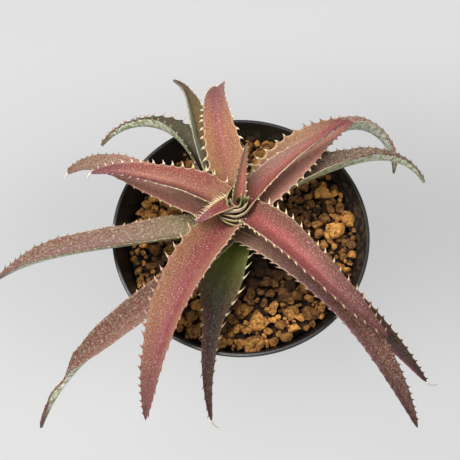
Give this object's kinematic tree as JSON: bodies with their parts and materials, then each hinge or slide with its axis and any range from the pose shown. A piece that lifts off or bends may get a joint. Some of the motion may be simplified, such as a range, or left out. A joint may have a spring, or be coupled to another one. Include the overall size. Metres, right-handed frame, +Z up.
{
  "type": "potted bromeliad",
  "caption": "Spiny rosette of arching, channelled leaves on a short stem, growing in a round tapered plastic pot filled with clay grains.",
  "frame": {"origin": "centre of the pot's underside", "axes": "+Z up; -Y towards the viewer, where the two longest young leaves point; +X to the viewer's right"},
  "size_m": [0.1521, 0.1291, 0.1098],
  "materials": {
    "pot": "gloss",
    "potting_mix": "matte",
    "stem": "matte",
    "heart_leaf": "satin",
    "young_leaf": "satin",
    "old_leaf": "satin",
    "dark_leaf": "satin"
  },
  "bodies": {
    "root": {"pot": "pot", "potting_mix": "potting_mix", "stem": "stem", "leaf_01": "heart_leaf", "leaf_02": "young_leaf", "leaf_03": "young_leaf", "leaf_04": "young_leaf", "leaf_05": "young_leaf", "leaf_06": "young_leaf", "leaf_07": "young_leaf", "leaf_08": "young_leaf", "leaf_09": "young_leaf", "leaf_10": "old_leaf", "leaf_11": "old_leaf", "leaf_12": "old_leaf", "leaf_13": "old_leaf", "leaf_14": "old_leaf", "leaf_15": "old_leaf", "leaf_16": "old_leaf", "leaf_17": "old_leaf", "leaf_18": "old_leaf", "leaf_19": "dark_leaf"}
  },
  "joints": []
}
